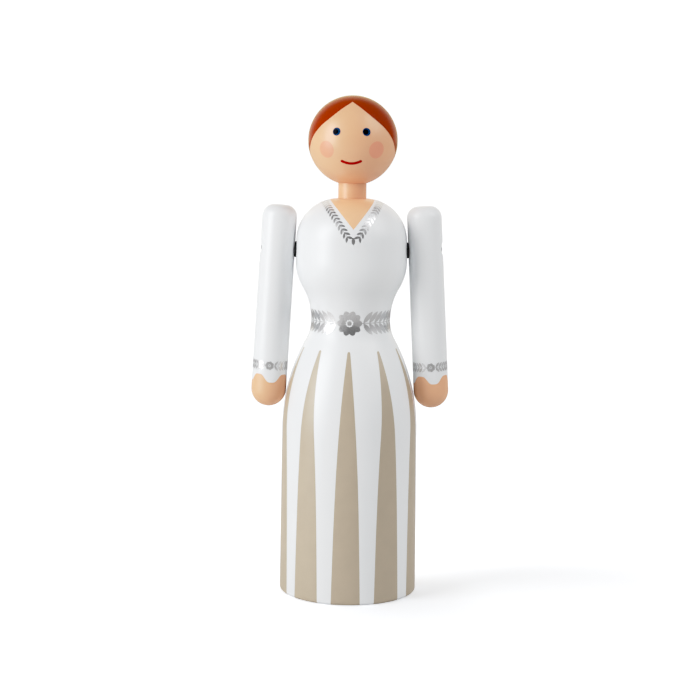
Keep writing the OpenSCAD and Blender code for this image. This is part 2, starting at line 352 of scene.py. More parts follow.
class Graph:
    """Adds nodes to one tree and gives back their outputs as values."""

    def __init__(self, tree):
        self.tree = tree

    def socket(self, sockets, key):
        if isinstance(key, int):
            return sockets[key]
        return next(found for found in sockets if found.name == key and found.enabled)

    def fill(self, node, sockets):
        """Sets or links input sockets of a node."""
        for key, value in sockets.items():
            place = self.socket(node.inputs, key)
            if isinstance(value, Value):
                self.tree.links.new(value.socket, place)
            else:
                place.default_value = value

    def node(self, kind, sockets=None, output=0, **settings):
        """One output of a new node, which gets its settings first."""
        made = self.tree.nodes.new(kind)
        for name, value in settings.items():
            setattr(made, name, value)
        self.fill(made, sockets or {})
        return Value(self, self.socket(made.outputs, output)) if made.outputs else None

    def vector(self, operation, first, second=None, output="Vector"):
        operands = {0: first} if second is None else {0: first, 1: second}
        return self.node("ShaderNodeVectorMath", operands, output, operation=operation)

    def smooth_rise(self, value, start, end):
        """Goes gently from 0 to 1 as the value goes from start to end."""
        return self.node(
            "ShaderNodeMapRange", {"Value": value, "From Min": start, "From Max": end},
            interpolation_type="SMOOTHSTEP",
        )

    def mix(self, first, second, factor):
        """A colour between two colours."""
        return self.node("ShaderNodeMix", {0: factor, 6: first, 7: second}, 2, data_type="RGBA")

    def shaded(self, rgb, shade, factor):
        """A colour that goes to a shade of itself, which is a multiple of it, with the factor."""
        return self.mix(opaque(rgb), opaque(rgb, shade), factor)

    def noise(self, place, scale, stretch=(1, 1, 1), detail=3):
        """Cloudy noise from 0 to 1, with about scale features to a metre."""
        stretched = self.node("ShaderNodeMapping", {"Vector": place, "Scale": stretch})
        return self.node("ShaderNodeTexNoise", {"Vector": stretched, "Scale": scale, "Detail": detail})

    def bump(self, height, strength, distance=0.02 * MM):
        return self.node("ShaderNodeBump", {"Height": height, "Strength": strength, "Distance": distance})


def opaque(rgb, factor=1.0):
    return [channel * factor for channel in rgb] + [1.0]


def geometry_tree(name, **inputs):
    """A graph for a new Geometry Nodes tree with named inputs, and the values of these inputs."""
    tree = bpy.data.node_groups.new(name, "GeometryNodeTree")
    for socket_name, kind in inputs.items():
        tree.interface.new_socket(socket_name, in_out="INPUT", socket_type=f"NodeSocket{kind}")
    tree.interface.new_socket("Piece", in_out="OUTPUT", socket_type="NodeSocketGeometry")
    graph = Graph(tree)
    first = graph.node("NodeGroupInput")
    return graph, {socket_name: first.other(socket_name) for socket_name in inputs}


def close_tree(graph, geometry, finish):
    """Ends a tree in real geometry with a material."""
    real = graph.node("GeometryNodeRealizeInstances", {"Geometry": geometry})
    painted = graph.node("GeometryNodeSetMaterial", {"Geometry": real, "Material": finish})
    graph.node("NodeGroupOutput", {"Piece": painted})
    return graph.tree


def turned_piece_tree(name):
    """Turns an outline, a chain of points in the XZ plane, round Z."""
    graph, given = geometry_tree(name, Outline="Geometry", Sides="Int", Weld="Float", Finish="Material")
    outline = given["Outline"]
    points = graph.node("GeometryNodeAttributeDomainSize", {"Geometry": outline}, "Point Count")
    grid = graph.node("GeometryNodeMeshGrid", {"Vertices X": given["Sides"] + 1, "Vertices Y": points})
    index = graph.node("GeometryNodeInputIndex")
    row = index % points
    turn = (index - row) / points / given["Sides"] * math.tau
    ring = graph.node(
        "GeometryNodeSampleIndex",
        {"Geometry": outline, "Value": graph.node("GeometryNodeInputPosition"), "Index": row},
        data_type="FLOAT_VECTOR", domain="POINT",
    )
    place = graph.node("ShaderNodeVectorRotate", {"Vector": ring, "Angle": turn}, rotation_type="Z_AXIS")
    moved = graph.node("GeometryNodeSetPosition", {"Geometry": grid, "Position": place})
    welded = graph.node("GeometryNodeMergeByDistance", {"Geometry": moved, "Distance": given["Weld"]})
    return close_tree(graph, welded, given["Finish"])


def round_copies_tree(name):
    """Repeats a piece evenly round Z."""
    graph, given = geometry_tree(name, One="Geometry", Count="Int", Finish="Material")
    points = graph.node("GeometryNodePoints", {"Count": given["Count"]})
    turn = graph.node("GeometryNodeInputIndex") / given["Count"] * math.tau
    spin = graph.node("ShaderNodeCombineXYZ", {"Z": turn})
    copies = graph.node(
        "GeometryNodeInstanceOnPoints", {"Points": points, "Instance": given["One"], "Rotation": spin},
    )
    return close_tree(graph, copies, given["Finish"])


def motif_row_tree(name):
    """Sets a flat motif along paths on a surface and presses it onto that surface."""
    graph, given = geometry_tree(
        name, Path="Geometry", Motif="Object", Surface="Object", Count="Int", Foil="Float", Finish="Material",
    )
    surface = graph.node("GeometryNodeObjectInfo", {"Object": given["Surface"]}, "Geometry")
    motif = graph.node("GeometryNodeObjectInfo", {"Object": given["Motif"]}, "Geometry")
    facing = graph.node(
        "GeometryNodeSampleNearestSurface", {"Mesh": surface, "Value": graph.node("GeometryNodeInputNormal")},
        data_type="FLOAT_VECTOR",
    )
    curve = graph.node("GeometryNodeMeshToCurve", {"Mesh": given["Path"]})
    points = graph.node("GeometryNodeCurveToPoints", {"Curve": curve, "Count": given["Count"]})
    turn = graph.node(
        "FunctionNodeAxesToRotation", {"Primary Axis": facing, "Secondary Axis": points.other("Tangent")},
        primary_axis="Z", secondary_axis="X",
    )
    row = graph.node("GeometryNodeInstanceOnPoints", {"Points": points, "Instance": motif, "Rotation": turn})
    real = graph.node("GeometryNodeRealizeInstances", {"Geometry": row})
    lift = graph.node("GeometryNodeInputNamedAttribute", {"Name": "lift"}, data_type="FLOAT")
    nearest = graph.node("GeometryNodeProximity", {0: surface}, "Position", target_element="FACES")
    rise = graph.node("ShaderNodeVectorMath", {0: facing, "Scale": lift * given["Foil"]}, operation="SCALE")
    pressed = graph.vector("ADD", nearest, rise)
    moved = graph.node("GeometryNodeSetPosition", {"Geometry": real, "Position": pressed})
    return close_tree(graph, moved, given["Finish"])


TREES = {
    "Turned piece": turned_piece_tree,
    "Copies round the axis": round_copies_tree,
    "Motif row": motif_row_tree,
}


# Meshes and objects

def linked(name, mesh):
    made = bpy.data.objects.new(name, mesh)
    bpy.context.scene.collection.objects.link(made)
    return made


def removed(*objects):
    for thing in objects:
        mesh = thing.data
        bpy.data.objects.remove(thing)
        bpy.data.meshes.remove(mesh)


def baked(piece):
    """Turns the modifiers of a piece into a plain mesh."""
    graph = bpy.context.evaluated_depsgraph_get()
    mesh = bpy.data.meshes.new_from_object(piece.evaluated_get(graph))
    piece.modifiers.clear()
    old = piece.data
    piece.data = mesh
    bpy.data.meshes.remove(old)
    mesh.name = piece.name
    return piece


def run_tree(piece, name, **inputs):
    """Shapes a piece with the Geometry Nodes tree of that name, made the first time that it is asked for."""
    tree = bpy.data.node_groups.get(name) or TREES[name](name)
    modifier = piece.modifiers.new("Shape", "NODES")
    modifier.node_group = tree
    for socket in tree.interface.items_tree:
        if socket.in_out == "INPUT" and socket.name in inputs:
            modifier[socket.identifier] = inputs[socket.name]
    baked(piece)
    if len(piece.data.materials) > 1:
        piece.data.materials.pop(index=0)
    return piece


def with_bmesh(mesh, change):
    """Runs a change on the mesh's bmesh."""
    work = bmesh.new()
    work.from_mesh(mesh)
    change(work)
    work.to_mesh(mesh)
    work.free()


def merge_doubles(mesh):
    with_bmesh(mesh, lambda work: bmesh.ops.remove_doubles(work, verts=work.verts, dist=WELD))


def face_outwards(mesh):
    with_bmesh(mesh, lambda work: bmesh.ops.recalc_face_normals(work, faces=work.faces))


def mesh_of(points, edges=(), faces=()):
    """A mesh from its points, edges and faces, for a piece that gives it a name of its own."""
    mesh = bpy.data.meshes.new("mesh")
    mesh.from_pydata(points, edges, faces)
    return mesh


def path_mesh(paths, closed=False):
    """Chains of points as one mesh."""
    points = []
    edges = []
    for path in paths:
        first = len(points)
        points += path
        edges += [(i, i + 1) for i in range(first, len(points) - 1)]
        if closed:
            edges.append((len(points) - 1, first))
    return mesh_of(points, edges)


def turned(name, outline, sides, finish, place=None):
    """A piece turned from an outline of (radius, height) points."""
    piece = linked(name, path_mesh([[(radius, 0, height) for radius, height in outline]]))
    run_tree(piece, "Turned piece", Sides=sides, Weld=WELD, Finish=finish)
    face_outwards(piece.data)
    if place:
        piece.data.transform(place)
    return piece


def sheet_mesh(rows, closed):
    """A sheet through rows of points, bottom row first, with points running to the viewer's right."""
    width = len(rows[0])
    faces = []
    for i in range(len(rows) - 1):
        low = i * width
        high = low + width
        for j in range(width if closed else width - 1):
            k = (j + 1) % width
            faces.append((low + j, low + k, high + k, high + j))
    mesh = mesh_of([point for row in rows for point in row], faces=faces)
    merge_doubles(mesh)
    return mesh


def paint_skin(settings, name, finish_name, rows, closed=True):
    """A closed skin of paint whose outer face passes through the rows of points."""
    piece = linked(name, sheet_mesh(rows, closed))
    piece.data.materials.append(finish(settings, finish_name))
    wall = piece.modifiers.new("Coat", "SOLIDIFY")
    wall.thickness = 2 * settings.paint.coat
    wall.offset = -1
    return baked(piece)


def cut(piece, cutters):
    for cutter in cutters:
        modifier = piece.modifiers.new("Cut", "BOOLEAN")
        modifier.operation = "DIFFERENCE"
        modifier.solver = "MANIFOLD"
        modifier.object = cutter
    baked(piece)
    merge_doubles(piece.data)
    removed(*cutters)


def joined(name, pieces):
    """One mesh object from several with the same finish."""
    work = bmesh.new()
    for piece in pieces:
        work.from_mesh(piece.data)
    mesh = bpy.data.meshes.new(name)
    work.to_mesh(mesh)
    work.free()
    mesh.materials.append(pieces[0].data.materials[0])
    removed(*pieces)
    return linked(name, mesh)


def mounted(piece, body, node=None):
    """Smooths a finished piece and puts it on its body."""
    piece.data.shade_smooth()
    piece.data.set_sharp_from_angle(angle=SHARP_ANGLE)
    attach(piece, body)
    if node:
        check_fit(piece, node)
        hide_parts(node)
    return piece


def check_fit(piece, node):
    """Stops the script if a piece isn't where its node in the frame is."""
    corners = [Vector(corner) for corner in piece.bound_box]
    low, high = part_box(node)
    for axis in range(3):
        values = [corner[axis] for corner in corners]
        off = max(abs(min(values) - low[axis]), abs(max(values) - high[axis]))
        if off > FIT_TOLERANCE:
            raise RuntimeError(f"{piece.name} is {off / MM:.3f} mm away from {node}")


# Outlines: half sections of (radius, height), with normals from level to straight up

def spread(first, last, steps):
    """Evenly spaced values, both ends included."""
    return [first + (last - first) * i / steps for i in range(steps + 1)]


def round_turns(steps):
    return [math.tau * i / steps - math.pi for i in range(steps)]


def on_circle(centre, radius, normal):
    return Vector(centre) + radius * Vector((math.cos(normal), math.sin(normal)))


def touching_normal(centre_1, radius_1, centre_2, radius_2):
    """Normal of the straight line that touches two circles on their outer side."""
    gap = Vector(centre_2) - Vector(centre_1)
    return math.atan2(gap.y, gap.x) - math.acos((radius_1 - radius_2) / gap.length)


def ogee_sum(step_r, step_z):
    """Sum of the radii of two curves that run into each other, from one upright tangent to the next."""
    return (step_r ** 2 + step_z ** 2) / (2 * step_r)


def arc(centre, radius, start, end):
    steps = max(8, math.ceil(abs(end - start) * radius / OUTLINE_STEP))
    return [on_circle(centre, radius, normal) for normal in spread(start, end, steps)]


def chained(*runs):
    """Joins runs of points, with straight lines in even steps between them."""
    points = [Vector(runs[0][0])]
    for point in (Vector(point) for run in runs for point in run):
        gap = point - points[-1]
        if gap.length < WELD:
            continue
        start = points[-1]
        steps = max(1, round(gap.length / OUTLINE_STEP))
        points += [start + gap * (i + 1) / steps for i in range(steps)]
    return points


def dress_side(dress):
    """Side of the dress from the hem's edge to the crown of the shoulders."""
    hip_r = dress.hip_d / 2
    waist_r = dress.waist_d / 2
    bust_r = dress.bust_d / 2
    skirt_ogee = ogee_sum(hip_r - waist_r, dress.waist_z - dress.hip_z)
    hip_curve_r = skirt_ogee - dress.waist_curve_r
    hip_top_normal = math.asin((dress.waist_z - dress.hip_z) / skirt_ogee)
    bodice_ogee = ogee_sum(bust_r - waist_r, dress.bust_z - dress.waist_z)
    high_waist_curve_r = bodice_ogee - dress.bust_curve_r
    bust_low_normal = -math.asin((dress.bust_z - dress.waist_z) / bodice_ogee)
    hem_c = (dress.hem_d / 2 - dress.hem_edge_r, dress.hem_edge_r)
    hip_c = (hip_r - hip_curve_r, dress.hip_z)
    low_waist_c = (waist_r + dress.waist_curve_r, dress.waist_z)
    high_waist_c = (waist_r + high_waist_curve_r, dress.waist_z)
    bust_c = (bust_r - dress.bust_curve_r, dress.bust_z)
    shoulder_c = shoulder_centre(dress)
    skirt_normal = touching_normal(hem_c, dress.hem_edge_r, hip_c, hip_curve_r)
    bodice_normal = touching_normal(bust_c, dress.bust_curve_r, shoulder_c, dress.shoulder_curve_r)
    return chained(
        arc(hem_c, dress.hem_edge_r, -math.pi / 2, skirt_normal),
        arc(hip_c, hip_curve_r, skirt_normal, hip_top_normal),
        arc(low_waist_c, dress.waist_curve_r, math.pi + hip_top_normal, math.pi),
        arc(high_waist_c, high_waist_curve_r, math.pi, math.pi + bust_low_normal),
        arc(bust_c, dress.bust_curve_r, bust_low_normal, bodice_normal),
        arc(shoulder_c, dress.shoulder_curve_r, bodice_normal, math.pi / 2),
    )


def shoulder_centre(dress):
    return dress.shoulder_d / 2 - dress.shoulder_curve_r, dress.shoulder_z


def shoulder_height(dress, radius):
    """Height of the shoulders at a distance from the axis."""
    centre = shoulder_centre(dress)
    return centre[1] + math.sqrt(dress.shoulder_curve_r ** 2 - (radius - centre[0]) ** 2)


def arm_side(arm):
    """Side of an arm from the tip of the hand to its upper end, with height 0 at the pivot."""
    hand_r = arm.hand_d / 2
    hand_c = (0, arm.above_pivot + hand_r - arm.total)
    top_c = (arm.shoulder_d / 2 - arm.top_edge_r, arm.above_pivot - arm.top_edge_r)
    normal = touching_normal(hand_c, hand_r, top_c, arm.top_edge_r)
    return chained(
        arc(hand_c, hand_r, -math.pi / 2, normal),
        arc(top_c, arm.top_edge_r, normal, math.pi / 2),
    )


class TurnedSurface:
    """Finds points on a turned piece from the turn round its axis and the height along it.

    A turn of 0 is straight ahead, and it grows to the viewer's right."""

    def __init__(self, side, place=None):
        self.side = side
        self.heights = [point.y for point in side]
        self.place = place or Matrix.Identity(4)

    def section(self, height):
        """Radius and outward direction of the side at a height."""
        upper = min(max(bisect_right(self.heights, height), 1), len(self.side) - 1)
        low = self.side[upper - 1]
        high = self.side[upper]
        run = high - low
        part = min(max((height - low.y) / run.y, 0), 1)
        return low.x + run.x * part, Vector((run.y, -run.x)).normalized()

    def at(self, turn, height, lift=0.0):
        radius, outward = self.section(height)
        reach = radius + lift * outward.x
        local = Vector((reach * math.sin(turn), -reach * math.cos(turn), height + lift * outward.y))
        return self.place @ local


def body_surface(settings, turn=0.0):
    return TurnedSurface(dress_side(settings.dress), Matrix.Rotation(turn, 4, "Z"))


# Arm pivots

def pivot_place(side):
    """Place of an arm's pivot: X is level along the pivot axis, Z runs up the arm."""
    joint = next(found for found in frame["joints"] if found["name"] == f"{side}_arm_swing")
    along = Vector(joint["axis"]).normalized()
    along *= math.copysign(1, along.x)
    ahead = Vector((0, 1, 0))
    turn = Matrix((along, ahead, along.cross(ahead))).transposed()
    return Matrix.Translation(joint["pos_m"]) @ turn.to_4x4()


def pivot_axis_place(side):
    """Place of an arm's pivot axis: Z runs outwards along it."""
    return pivot_place(side) @ Matrix.Rotation(SIDES[side] * math.pi / 2, 4, "Y")


def along_pivot(side, node):
    """Inner end, outer end and largest radius of a CAD node along its pivot axis."""
    into = pivot_axis_place(side).inverted()
    points = [into @ vertex.co for vertex in frame["nodes"][node].data.vertices]
    heights = [point.z for point in points]
    return min(heights), max(heights), max(math.hypot(point.x, point.y) for point in points)


def rod_cutter(side, start, end, radius, sides=SMALL_SIDES):
    outline = [(0, start), (radius, start), (radius, end), (0, end)]
    return turned("cutter", outline, sides, None, pivot_axis_place(side))


def recess_cutter(side, floor, radius, arm_r, edge_r):
    """Cutter for the screw's recess, with a rounded edge that follows the round of the arm."""
    edge_steps = 6
    rings = [(0, lambda y: floor), (radius, lambda y: floor)]
    for turn in spread(0, math.pi / 2, edge_steps)[:-1]:
        reach = radius + edge_r * (1 - math.cos(turn))
        drop = edge_r * (1 - math.sin(turn))
        rings.append((reach, lambda y, drop=drop: math.sqrt(arm_r ** 2 - y ** 2) - drop))
    rings += [(rings[-1][0], lambda y: arm_r + radius), (0, lambda y: arm_r + radius)]
    turns = spread(0, math.tau, SMALL_SIDES)[:-1]
    rows = []
    for reach, height in rings:
        row = [(reach * math.cos(turn), reach * math.sin(turn)) for turn in turns]
        rows.append([(x, y, height(y)) for x, y in row])
    mesh = sheet_mesh(rows, True)
    face_outwards(mesh)
    mesh.transform(pivot_axis_place(side))
    return linked("cutter", mesh)


# Finishes

def new_finish(name):
    """A material with its shader, and its object coordinates as a value."""
    made = bpy.data.materials.new(name)
    made.use_nodes = True
    graph = Graph(made.node_tree)
    shader = made.node_tree.nodes["Principled BSDF"]
    return made, graph, shader, graph.node("ShaderNodeTexCoord", output="Object")


def lacquer(name, rgb, bare=None):
    """Sprayed lacquer over turned wood: a faint orange peel, and grain that just shows through."""
    made, graph, shader, place = new_finish(name)
    clouds = graph.noise(place, 38)
    grain = graph.noise(place, 420, (1, 1, 0.06), 4)
    peel = graph.noise(place, 900, detail=2)
    tone = graph.shaded(rgb, 0.93, clouds * 0.55 + grain * 0.25)
    rough = SATIN + (clouds - 0.5) * 0.07 + (grain - 0.5) * 0.05
    if bare:
        under = graph.node("ShaderNodeSeparateXYZ", {0: place}, "Z") < BARE_HEIGHT
        tone = graph.mix(tone, end_grain(graph, place, bare), under)
        rough = rough + under * 0.3
    graph.fill(shader, {
        "Base Color": tone,
        "Roughness": rough,
        "Specular IOR Level": GLOSS,
        "Normal": graph.bump(peel * 0.7 + grain * 0.3, 0.12),
    })
    return made


def end_grain(graph, place, rgb):
    """Growth rings and flecks on the bare wood under the base."""
    bent = graph.noise(place, 40) * 0.006
    from_pith = graph.vector("ADD", place, (0.021, -0.034, 0))
    reach = graph.vector("LENGTH", from_pith, output="Value")
    rings = graph.node("ShaderNodeMath", {0: (reach + bent) * 3200}, operation="SINE")
    flecks = graph.noise(place, 1400)
    return graph.shaded(rgb, 0.72, rings * 0.3 + flecks * 0.5)


def paint(name, rgb, roughness=SATIN, gloss=GLOSS, sheen=0.0, sheen_tint=(1, 1, 1)):
    """Brushed or printed paint with a little unevenness, and a pale sheen where it turns away."""
    made, graph, shader, place = new_finish(name)
    clouds = graph.noise(place, 160)
    peel = graph.noise(place, 1100, detail=2)
    graph.fill(shader, {
        "Base Color": graph.shaded(rgb, 0.9, clouds),
        "Roughness": roughness + (clouds - 0.5) * 0.08,
        "Specular IOR Level": gloss,
        "Sheen Weight": sheen,
        "Sheen Tint": opaque(sheen_tint),
        "Sheen Roughness": 0.3,
        "Normal": graph.bump(peel, 0.1),
    })
    return made


def metal(name, rgb, roughness, grain_scale):
    """Metal with fine marks in its sheen."""
    made, graph, shader, place = new_finish(name)
    marks = graph.noise(place, grain_scale)
    clouds = graph.noise(place, 220)
    graph.fill(shader, {
        "Base Color": graph.shaded(rgb, 0.86, clouds),
        "Metallic": 1.0,
        "Roughness": roughness + (marks - 0.5) * 0.16,
        "Normal": graph.bump(marks, 0.15, 0.01 * MM),
    })
    return made


def rubber(name, rgb):
    """Matt rubber with dust in its pores."""
    made, graph, shader, place = new_finish(name)
    pores = graph.noise(place, 2600)
    graph.fill(shader, {
        "Base Color": graph.shaded(rgb, 2.4, pores),
        "Roughness": 0.7 + (pores - 0.5) * 0.2,
        "Normal": graph.bump(pores, 0.3),
    })
    return made


FINISHES = {
    "sprayed_white": lambda name, tones: lacquer(name, tones.white, bare=tones.beech),
    "sprayed_skin": lambda name, tones: lacquer(name, tones.skin),
    # The neckline paint is a lighter copy of the skin colour: painted light from above on the upturned
    # neckline.
    "neckline_paint": lambda name, tones: paint(name, tones.neckline),
    "hair_paint": lambda name, tones: paint(name, tones.hair, 0.16, 0.05, 0.58, (1, 1, 0.345)),
    "stripe_paint": lambda name, tones: paint(name, tones.tan),
    "silver_foil": lambda name, tones: metal(name, tones.silver, 0.3, 1800),
    "eye_paint": lambda name, tones: paint(name, tones.eye, 0.2, 0.04),
    "pupil_paint": lambda name, tones: paint(name, tones.pupil, 0.2, 0.04),
    "cheek_paint": lambda name, tones: paint(name, tones.cheek),
    "mouth_paint": lambda name, tones: paint(name, tones.mouth, 0.3, 0.1),
    "rubber": lambda name, tones: rubber(name, tones.rubber),
    "blackened_steel": lambda name, tones: metal(name, tones.steel, 0.36, 3000),
    "brass": lambda name, tones: metal(name, tones.brass, 0.32, 2500),
}


def finish(settings, name):
    """The material of that name, made the first time that it is asked for."""
    return bpy.data.materials.get(name) or FINISHES[name](name, settings.colours)


# Turned pieces

class FIGURE_OT_turn_body(bpy.types.Operator):
    """Turn skirt, waist and bodice from one blank, with the holes for neck and pivots"""

    bl_idname = "figure.turn_body"
    bl_label = "Turn the body"

    def execute(self, context):
        settings = context.scene.figure
        head = settings.head
        hole_r = head.neck_d / 2 + head.joint_gap
        hole_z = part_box("neck")[0].z
        mouth_r = hole_r + head.joint_edge_r
        mouth_z = shoulder_height(settings.dress, mouth_r)
        outline = chained(
            [(0, 0)],
            [point for point in dress_side(settings.dress) if point.y < mouth_z],
            arc((mouth_r, mouth_z - head.joint_edge_r), head.joint_edge_r, math.pi / 2, math.pi),
            [(hole_r, hole_z), (0, hole_z)],
        )
        body = turned("turned_body", outline, BODY_SIDES, finish(settings, "sprayed_white"))
        cut(body, [cutter for side in SIDES for cutter in self.pivot_cutters(settings.pivot, side)])
        mounted(body, "body", "body")
        return {"FINISHED"}

    def pivot_cutters(self, pivot, side):
        """The washer's flat seat and the insert's hole."""
        washer_in, washer_out, washer_r = along_pivot(side, f"{side}_friction_washer")
        insert_in, insert_out, insert_r = along_pivot(side, f"{side}_threaded_insert")
        seat = rod_cutter(side, washer_in - pivot.slip_gap, washer_out, washer_r + pivot.washer_room)
        hole = rod_cutter(side, insert_in - pivot.tip_room, washer_out, insert_r + pivot.turn_gap)
        return [seat, hole]


class FIGURE_OT_turn_neck_and_head(bpy.types.Operator):
    """Turn the neck dowel and the ball head that sits on it"""

    bl_idname = "figure.turn_neck_and_head"
    bl_label = "Turn the neck and head"

    def execute(self, context):
        settings = context.scene.figure
        sizes = settings.head
        skin = finish(settings, "sprayed_skin")
        low, high = (corner.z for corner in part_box("neck"))
        neck_r = sizes.neck_d / 2
        inner_r = neck_r - sizes.neck_chamfer
        neck_outline = chained(
            [(0, low), (inner_r, low), (neck_r, low + sizes.neck_chamfer)],
            [(neck_r, high - sizes.neck_chamfer), (inner_r, high), (0, high)],
        )
        neck = turned("neck_dowel", neck_outline, ROD_SIDES, skin)
        mounted(neck, "body", "neck")

        head_r = sizes.head_d / 2
        head_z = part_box("head")[1].z - head_r
        bore_r = neck_r + sizes.joint_gap
        edge_c = (bore_r + sizes.joint_edge_r, 0)
        edge_z = head_z - math.sqrt((head_r - sizes.joint_edge_r) ** 2 - edge_c[0] ** 2)
        edge_normal = math.atan2(edge_z - head_z, edge_c[0])
        bore_z = high + sizes.bore_end_gap
        head_outline = chained(
            [(0, bore_z), (bore_r, bore_z)],
            arc((edge_c[0], edge_z), sizes.joint_edge_r, math.pi, math.tau + edge_normal),
            arc((0, head_z), head_r, edge_normal, math.pi / 2),
        )
        head = turned("ball_head", head_outline, ROD_SIDES, skin)
        mounted(head, "head", "head")
        return {"FINISHED"}


class FIGURE_OT_turn_arms(bpy.types.Operator):
    """Turn both arms, with the washer's flat, the bore and the screw's recess"""

    bl_idname = "figure.turn_arms"
    bl_label = "Turn the arms"

    def execute(self, context):
        settings = context.scene.figure
        pivot = settings.pivot
        white = finish(settings, "sprayed_white")
        profile = arm_side(settings.arm)
        outline = profile + [(0, settings.arm.above_pivot)]
        arm_r = TurnedSurface(profile).section(0)[0]
        reach = 2 * arm_r
        for side in SIDES:
            arm = turned(f"{side}_arm_rod", outline, ROD_SIDES, white, pivot_place(side))
            washer_out, washer_r = along_pivot(side, f"{side}_friction_washer")[1:]
            head_top, head_r = along_pivot(side, f"{side}_arm_screw")[1:]
            recess_floor = head_top - pivot.screw_head_h - pivot.slip_gap
            cut(arm, [
                rod_cutter(side, -reach, washer_out, washer_r + pivot.washer_room),
                rod_cutter(side, -reach, reach, pivot.screw_d / 2 + pivot.turn_gap),
                recess_cutter(side, recess_floor, head_r + pivot.head_room, arm_r, pivot.recess_edge_r),
            ])
            mounted(arm, f"{side}_arm", f"{side}_arm")
        return {"FINISHED"}


class FIGURE_OT_fit_pivots(bpy.types.Operator):
    """Make the rubber washers and the button-head screws, and finish the brass inserts"""

    bl_idname = "figure.fit_pivots"
    bl_label = "Fit the pivots"

    def execute(self, context):
        settings = context.scene.figure
        for side in SIDES:
            self.fit_washer(settings, side)
            self.fit_screw(settings, side)
            insert = frame["nodes"][f"{side}_threaded_insert"].data
            insert.materials.clear()
            insert.materials.append(finish(settings, "brass"))
        return {"FINISHED"}

    def fit_washer(self, settings, side):
        pivot = settings.pivot
        start, end, radius = along_pivot(side, f"{side}_friction_washer")
        hole_r = pivot.screw_d / 2 + pivot.turn_gap
        edge_r = pivot.washer_edge_r
        rim_r = radius - edge_r
        outline = chained(
            [(hole_r, start)],
            arc((rim_r, start + edge_r), edge_r, -math.pi / 2, 0),
            arc((rim_r, end - edge_r), edge_r, 0, math.pi / 2),
            [(hole_r, end), (hole_r, start)],
        )
        place = pivot_axis_place(side)
        washer = turned(f"{side}_rubber_washer", outline, SMALL_SIDES, finish(settings, "rubber"), place)
        mounted(washer, f"{side}_arm", f"{side}_friction_washer")

    def fit_screw(self, settings, side):
        pivot = settings.pivot
        steel = finish(settings, "blackened_steel")
        tip, top, head_r = along_pivot(side, f"{side}_arm_screw")
        shank_r = pivot.screw_d / 2
        under = top - pivot.screw_head_h
        dome_h = pivot.screw_head_h - pivot.screw_rim_h
        dome_r = (head_r ** 2 + dome_h ** 2) / (2 * dome_h)
        outline = chained(
            [(0, tip), (shank_r - pivot.screw_tip_chamfer, tip), (shank_r, tip + pivot.screw_tip_chamfer)],
            [(shank_r, under), (head_r, under)],
            arc((0, top - dome_r), dome_r, math.acos(head_r / dome_r), math.pi / 2),
        )
        screw = turned(f"{side}_pivot_screw", outline, SMALL_SIDES, steel, pivot_axis_place(side))
        key_r = pivot.key_w / 2 / math.cos(math.pi / 6)
        cut(screw, [rod_cutter(side, top - pivot.key_depth, top + dome_h, key_r, sides=6)])
        mounted(screw, "body", f"{side}_arm_screw")


# Painted pieces

class FIGURE_OT_paint_skirt(bpy.types.Operator):
    """Paint the stripes that run from below the waist to the hem"""

    bl_idname = "figure.paint_skirt"
    bl_label = "Paint the skirt"

    def execute(self, context):
        settings = context.scene.figure
        sizes = settings.paint
        surface = body_surface(settings, sizes.skirt_turn)
        cap_r = sizes.stripe_top_w / 2
        cap_z = sizes.stripe_top_z - cap_r
        hem_r = settings.dress.hem_edge_r
        lowest = math.radians(12)
        heights = [hem_r * (1 - math.cos(turn)) for turn in spread(lowest, math.pi / 2, 6)]
        heights += spread(hem_r, cap_z, 90)[1:]
        heights += [cap_z + cap_r * math.sin(turn) for turn in spread(0, math.pi / 2, 8)[1:]]
        rows = []
        for height in heights:
            half = self.half_width(sizes, height, cap_z, cap_r) / surface.section(height)[0]
            rows.append([surface.at(turn, height, sizes.coat) for turn in spread(-half, half, 12)])
        stripes = paint_skin(settings, "skirt_stripes", "stripe_paint", rows, closed=False)
        paint_finish = finish(settings, "stripe_paint")
        run_tree(stripes, "Copies round the axis", Count=sizes.stripes, Finish=paint_finish)
        mounted(stripes, "body")
        return {"FINISHED"}

    def half_width(self, sizes, height, cap_z, cap_r):
        """A stripe is widest at the hem, draws in ever faster upwards and ends in a half round."""
        if height > cap_z:
            return math.sqrt(max(cap_r ** 2 - (height - cap_z) ** 2, 0))
        part = height / cap_z
        loss = sizes.stripe_flare * part + (1 - sizes.stripe_flare) * part ** 3
        return (sizes.stripe_hem_w + (sizes.stripe_top_w - sizes.stripe_hem_w) * loss) / 2


def smooth_through(points, x):
    """Value at x of a smooth curve through points, with the slope at each taken from its neighbours."""
    upper = min(max(bisect_right([point[0] for point in points], x), 1), len(points) - 1)

    def slope(i):
        before = points[max(i - 1, 0)]
        after = points[min(i + 1, len(points) - 1)]
        return (after[1] - before[1]) / (after[0] - before[0])

    (x0, y0), (x1, y1) = points[upper - 1], points[upper]
    step = x1 - x0
    t = (x - x0) / step
    start = (2 * t ** 3 - 3 * t ** 2 + 1) * y0 + (t ** 3 - 2 * t ** 2 + t) * step * slope(upper - 1)
    end = (3 * t ** 2 - 2 * t ** 3) * y1 + (t ** 3 - t ** 2) * step * slope(upper)
    return start + end


